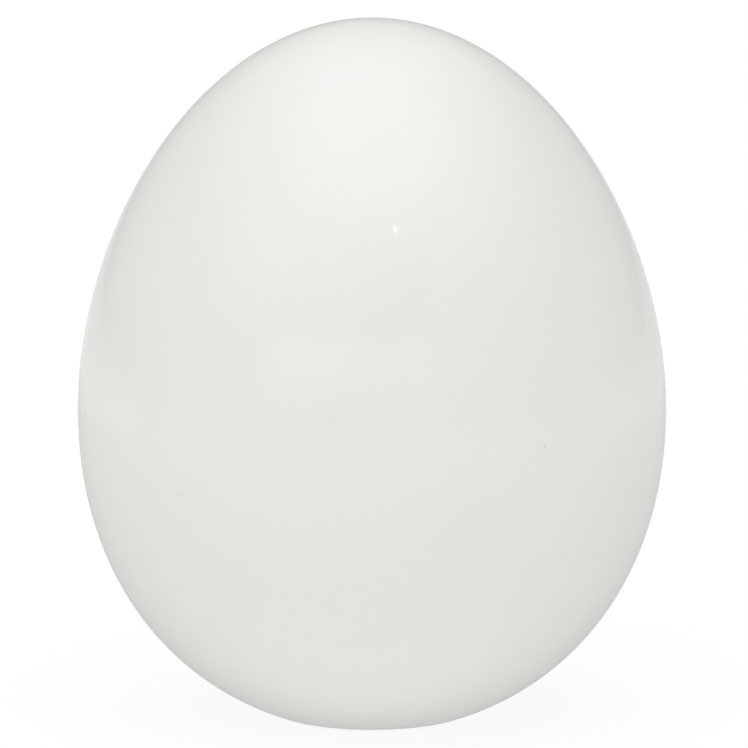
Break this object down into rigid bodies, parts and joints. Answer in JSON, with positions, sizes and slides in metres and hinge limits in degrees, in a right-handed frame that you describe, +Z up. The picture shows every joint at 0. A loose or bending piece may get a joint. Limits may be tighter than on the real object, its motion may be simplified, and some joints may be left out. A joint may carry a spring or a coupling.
{
  "type": "mechanical kitchen timer",
  "caption": "Egg-shaped wind-up kitchen timer: a glossy moulded shell on a small flat base, a twist dial on the front, and a clockwork movement that strikes a bell.",
  "frame": {"origin": "on the standing surface, under the centre of the egg's axis", "axes": "+Z up along the egg's axis; the dial faces -Y; +X is to the right of someone reading the dial"},
  "size_m": [0.062, 0.062, 0.074],
  "materials": {
    "shell": "glossy, warm white, moulded",
    "dial": "satin, warm white, with dark printed numbers",
    "knob": "glossy, warm white, moulded",
    "pointer": "dark inlay",
    "cover": "finely textured",
    "foot": "matt",
    "steel": "turned or stamped",
    "zinc": "bright zinc plating",
    "brass": "stamped or turned, lightly grained",
    "spring_steel": "blued, lightly oiled",
    "nylon": "natural nylon",
    "bell": "nickel-plated, pressed",
    "ballast": "turned on its faces"
  },
  "bodies": {
    "case": {"rear_shell": "shell", "front_shell": "shell", "base_cover": "cover", "foot_pad": "foot", "ballast_puck": "ballast", "base_screws": "zinc", "dial_plate": "dial", "front_plate": "brass", "rear_plate": "brass", "pillar_1": "steel", "pillar_2": "steel", "pillar_3": "steel", "pillar_nuts": "zinc", "movement_screws": "zinc", "arbor_bush": "nylon", "plate_stop_pin": "steel", "mainspring": "spring_steel", "hammer_spring": "spring_steel", "bell": "bell", "bell_post": "brass", "bell_washer": "zinc", "bell_nut": "zinc"},
    "dial": {"knob": "knob", "pointer_inlay": "pointer", "winding_arbor": "steel", "alarm_cam": "brass", "cam_stop_pin": "steel", "ratchet_wheel": "steel"},
    "great": {"great_wheel": "brass", "click_rivet": "steel", "click_spring": "spring_steel"},
    "click": {"click": "steel"},
    "second": {"second_pinion": "steel", "second_wheel": "brass"},
    "third": {"third_pinion": "steel", "third_wheel": "brass"},
    "escape": {"escape_pinion": "steel", "escape_wheel": "brass"},
    "pallet": {"pallet_arbor": "steel", "pallet_lever": "brass", "pallet_pins": "steel"},
    "flywheel": {"flywheel_arbor": "steel", "flywheel": "brass", "flywheel_pin": "steel"},
    "hammer": {"hammer_arbor": "steel", "cam_follower": "steel", "hammer_arm": "steel", "hammer_head": "brass", "hammer_stop_collar": "brass"}
  },
  "joints": [
    {"name": "dial_turn", "type": "hinge", "parent": "case", "child": "dial", "pos_m": [0, -0.0233, 0.03245], "axis": [0, 1, 0], "range_deg": [0, 330], "deforming": ["mainspring"]},
    {"name": "great_wheel_turn", "type": "hinge", "parent": "case", "child": "great", "pos_m": [0, -0.0158, 0.03245], "axis": [0, 1, 0], "range_deg": [0, 330]},
    {"name": "second_wheel_turn", "type": "hinge", "parent": "case", "child": "second", "pos_m": [-0.00394, -0.0145, 0.02162], "axis": [0, 1, 0], "range_deg": [-2640, 0]},
    {"name": "third_wheel_turn", "type": "hinge", "parent": "case", "child": "third", "pos_m": [-0.01051, -0.0131, 0.02754], "axis": [0, 1, 0], "range_deg": [0, 19800]},
    {"name": "escape_wheel_turn", "type": "hinge", "parent": "case", "child": "escape", "pos_m": [-0.0117, -0.0118, 0.03513], "axis": [0, 1, 0], "range_deg": [-138600, 0]},
    {"name": "flywheel_swing", "type": "hinge", "parent": "case", "child": "flywheel", "pos_m": [-0.00398, -0.0143, 0.04387], "axis": [0, 1, 0], "range_deg": [-25, 25]},
    {"name": "pallet_rock", "type": "hinge", "parent": "case", "child": "pallet", "pos_m": [-0.00977, -0.0111, 0.04231], "axis": [0, 1, 0], "range_deg": [-5, 5]},
    {"name": "hammer_swing", "type": "hinge", "parent": "case", "child": "hammer", "pos_m": [0.01428, -0.0015, 0.03497], "axis": [0, -1, 0], "range_deg": [-4, 0]},
    {"name": "click_lift", "type": "hinge", "parent": "great", "child": "click", "pos_m": [-0.00456, -0.01685, 0.03828], "axis": [0, -1, 0], "range_deg": [0, 10], "deforming": ["click_spring"]}
  ],
  "couplings": [
    {"joint": "great_wheel_turn", "follows": "dial_turn", "ratio": 1},
    {"joint": "second_wheel_turn", "follows": "dial_turn", "ratio": -8},
    {"joint": "third_wheel_turn", "follows": "dial_turn", "ratio": 60},
    {"joint": "escape_wheel_turn", "follows": "dial_turn", "ratio": -420},
    {"joint": "pallet_rock", "follows": "flywheel_swing", "ratio": -0.2}
  ]
}
